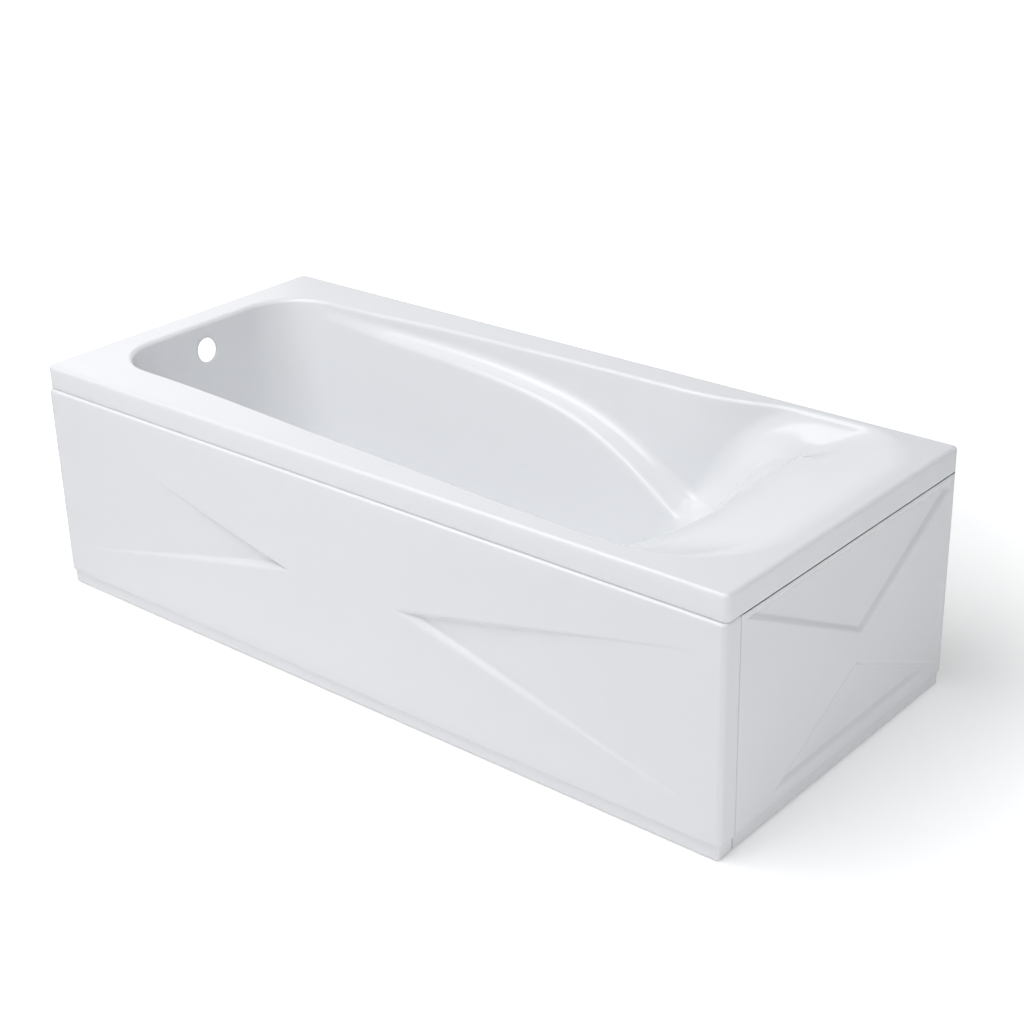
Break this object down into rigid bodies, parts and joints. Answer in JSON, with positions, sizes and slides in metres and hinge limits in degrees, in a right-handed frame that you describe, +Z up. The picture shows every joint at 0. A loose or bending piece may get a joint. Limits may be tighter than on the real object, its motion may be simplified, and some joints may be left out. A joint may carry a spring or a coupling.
{
  "type": "bathtub",
  "caption": "Rectangular built-in bathtub with armrests, sloped backrest and head shelf, on a steel frame with adjustable legs, with embossed removable front and end panels.",
  "frame": {"origin": "on the floor, under the middle of the whole bath", "axes": "+X along the bath from the foot end (waste and overflow) to the head end, +Y from the front panel to the wall behind, +Z up"},
  "size_m": [1.7, 0.75, 0.5],
  "materials": {
    "white_acrylic": "high gloss",
    "panel_acrylic": "gloss",
    "chipboard": "raw chipboard sealed with resin",
    "timber": "planed softwood",
    "frame_steel": "grey powder coat",
    "zinc_steel": "zinc plated",
    "spring_steel": "plain spring steel",
    "keeper_steel": "zinc plated",
    "magnet": "dark ferrite",
    "foot_plastic": "matt black"
  },
  "bodies": {
    "bath": {"tub_shell": "white_acrylic", "base_board": "chipboard", "front_batten": "timber", "back_batten": "timber", "foot_batten": "timber", "head_batten": "timber", "front_rail": "frame_steel", "back_rail": "frame_steel", "left_cross_rail": "frame_steel", "right_cross_rail": "frame_steel", "end_rail": "frame_steel", "front_panel_clips": "spring_steel", "front_panel_brackets": "frame_steel", "end_panel_clips": "spring_steel", "end_panel_brackets": "frame_steel", "panel_magnets": "magnet", "wall_brackets": "zinc_steel", "leg_nuts": "zinc_steel"},
    "front_panel_body": {"front_panel": "panel_acrylic", "front_panel_keepers": "keeper_steel"},
    "end_panel_body": {"end_panel": "panel_acrylic", "end_panel_keepers": "keeper_steel"},
    "front_left_leg": {"front_left_leg_rod": "zinc_steel", "front_left_leg_pad": "foot_plastic"},
    "front_right_leg": {"front_right_leg_rod": "zinc_steel", "front_right_leg_pad": "foot_plastic"},
    "back_left_leg": {"back_left_leg_rod": "zinc_steel", "back_left_leg_pad": "foot_plastic"},
    "back_right_leg": {"back_right_leg_rod": "zinc_steel", "back_right_leg_pad": "foot_plastic"}
  },
  "joints": [
    {"name": "front_panel_pull", "type": "slide", "parent": "bath", "child": "front_panel_body", "axis": [0, -1, 0], "range_m": [0, 0.06]},
    {"name": "end_panel_pull", "type": "slide", "parent": "bath", "child": "end_panel_body", "axis": [1, 0, 0], "range_m": [0, 0.06]},
    {"name": "front_left_leg_height", "type": "slide", "parent": "bath", "child": "front_left_leg", "axis": [0, 0, -1], "range_m": [0, 0.02]},
    {"name": "front_right_leg_height", "type": "slide", "parent": "bath", "child": "front_right_leg", "axis": [0, 0, -1], "range_m": [0, 0.02]},
    {"name": "back_left_leg_height", "type": "slide", "parent": "bath", "child": "back_left_leg", "axis": [0, 0, -1], "range_m": [0, 0.02]},
    {"name": "back_right_leg_height", "type": "slide", "parent": "bath", "child": "back_right_leg", "axis": [0, 0, -1], "range_m": [0, 0.02]}
  ]
}
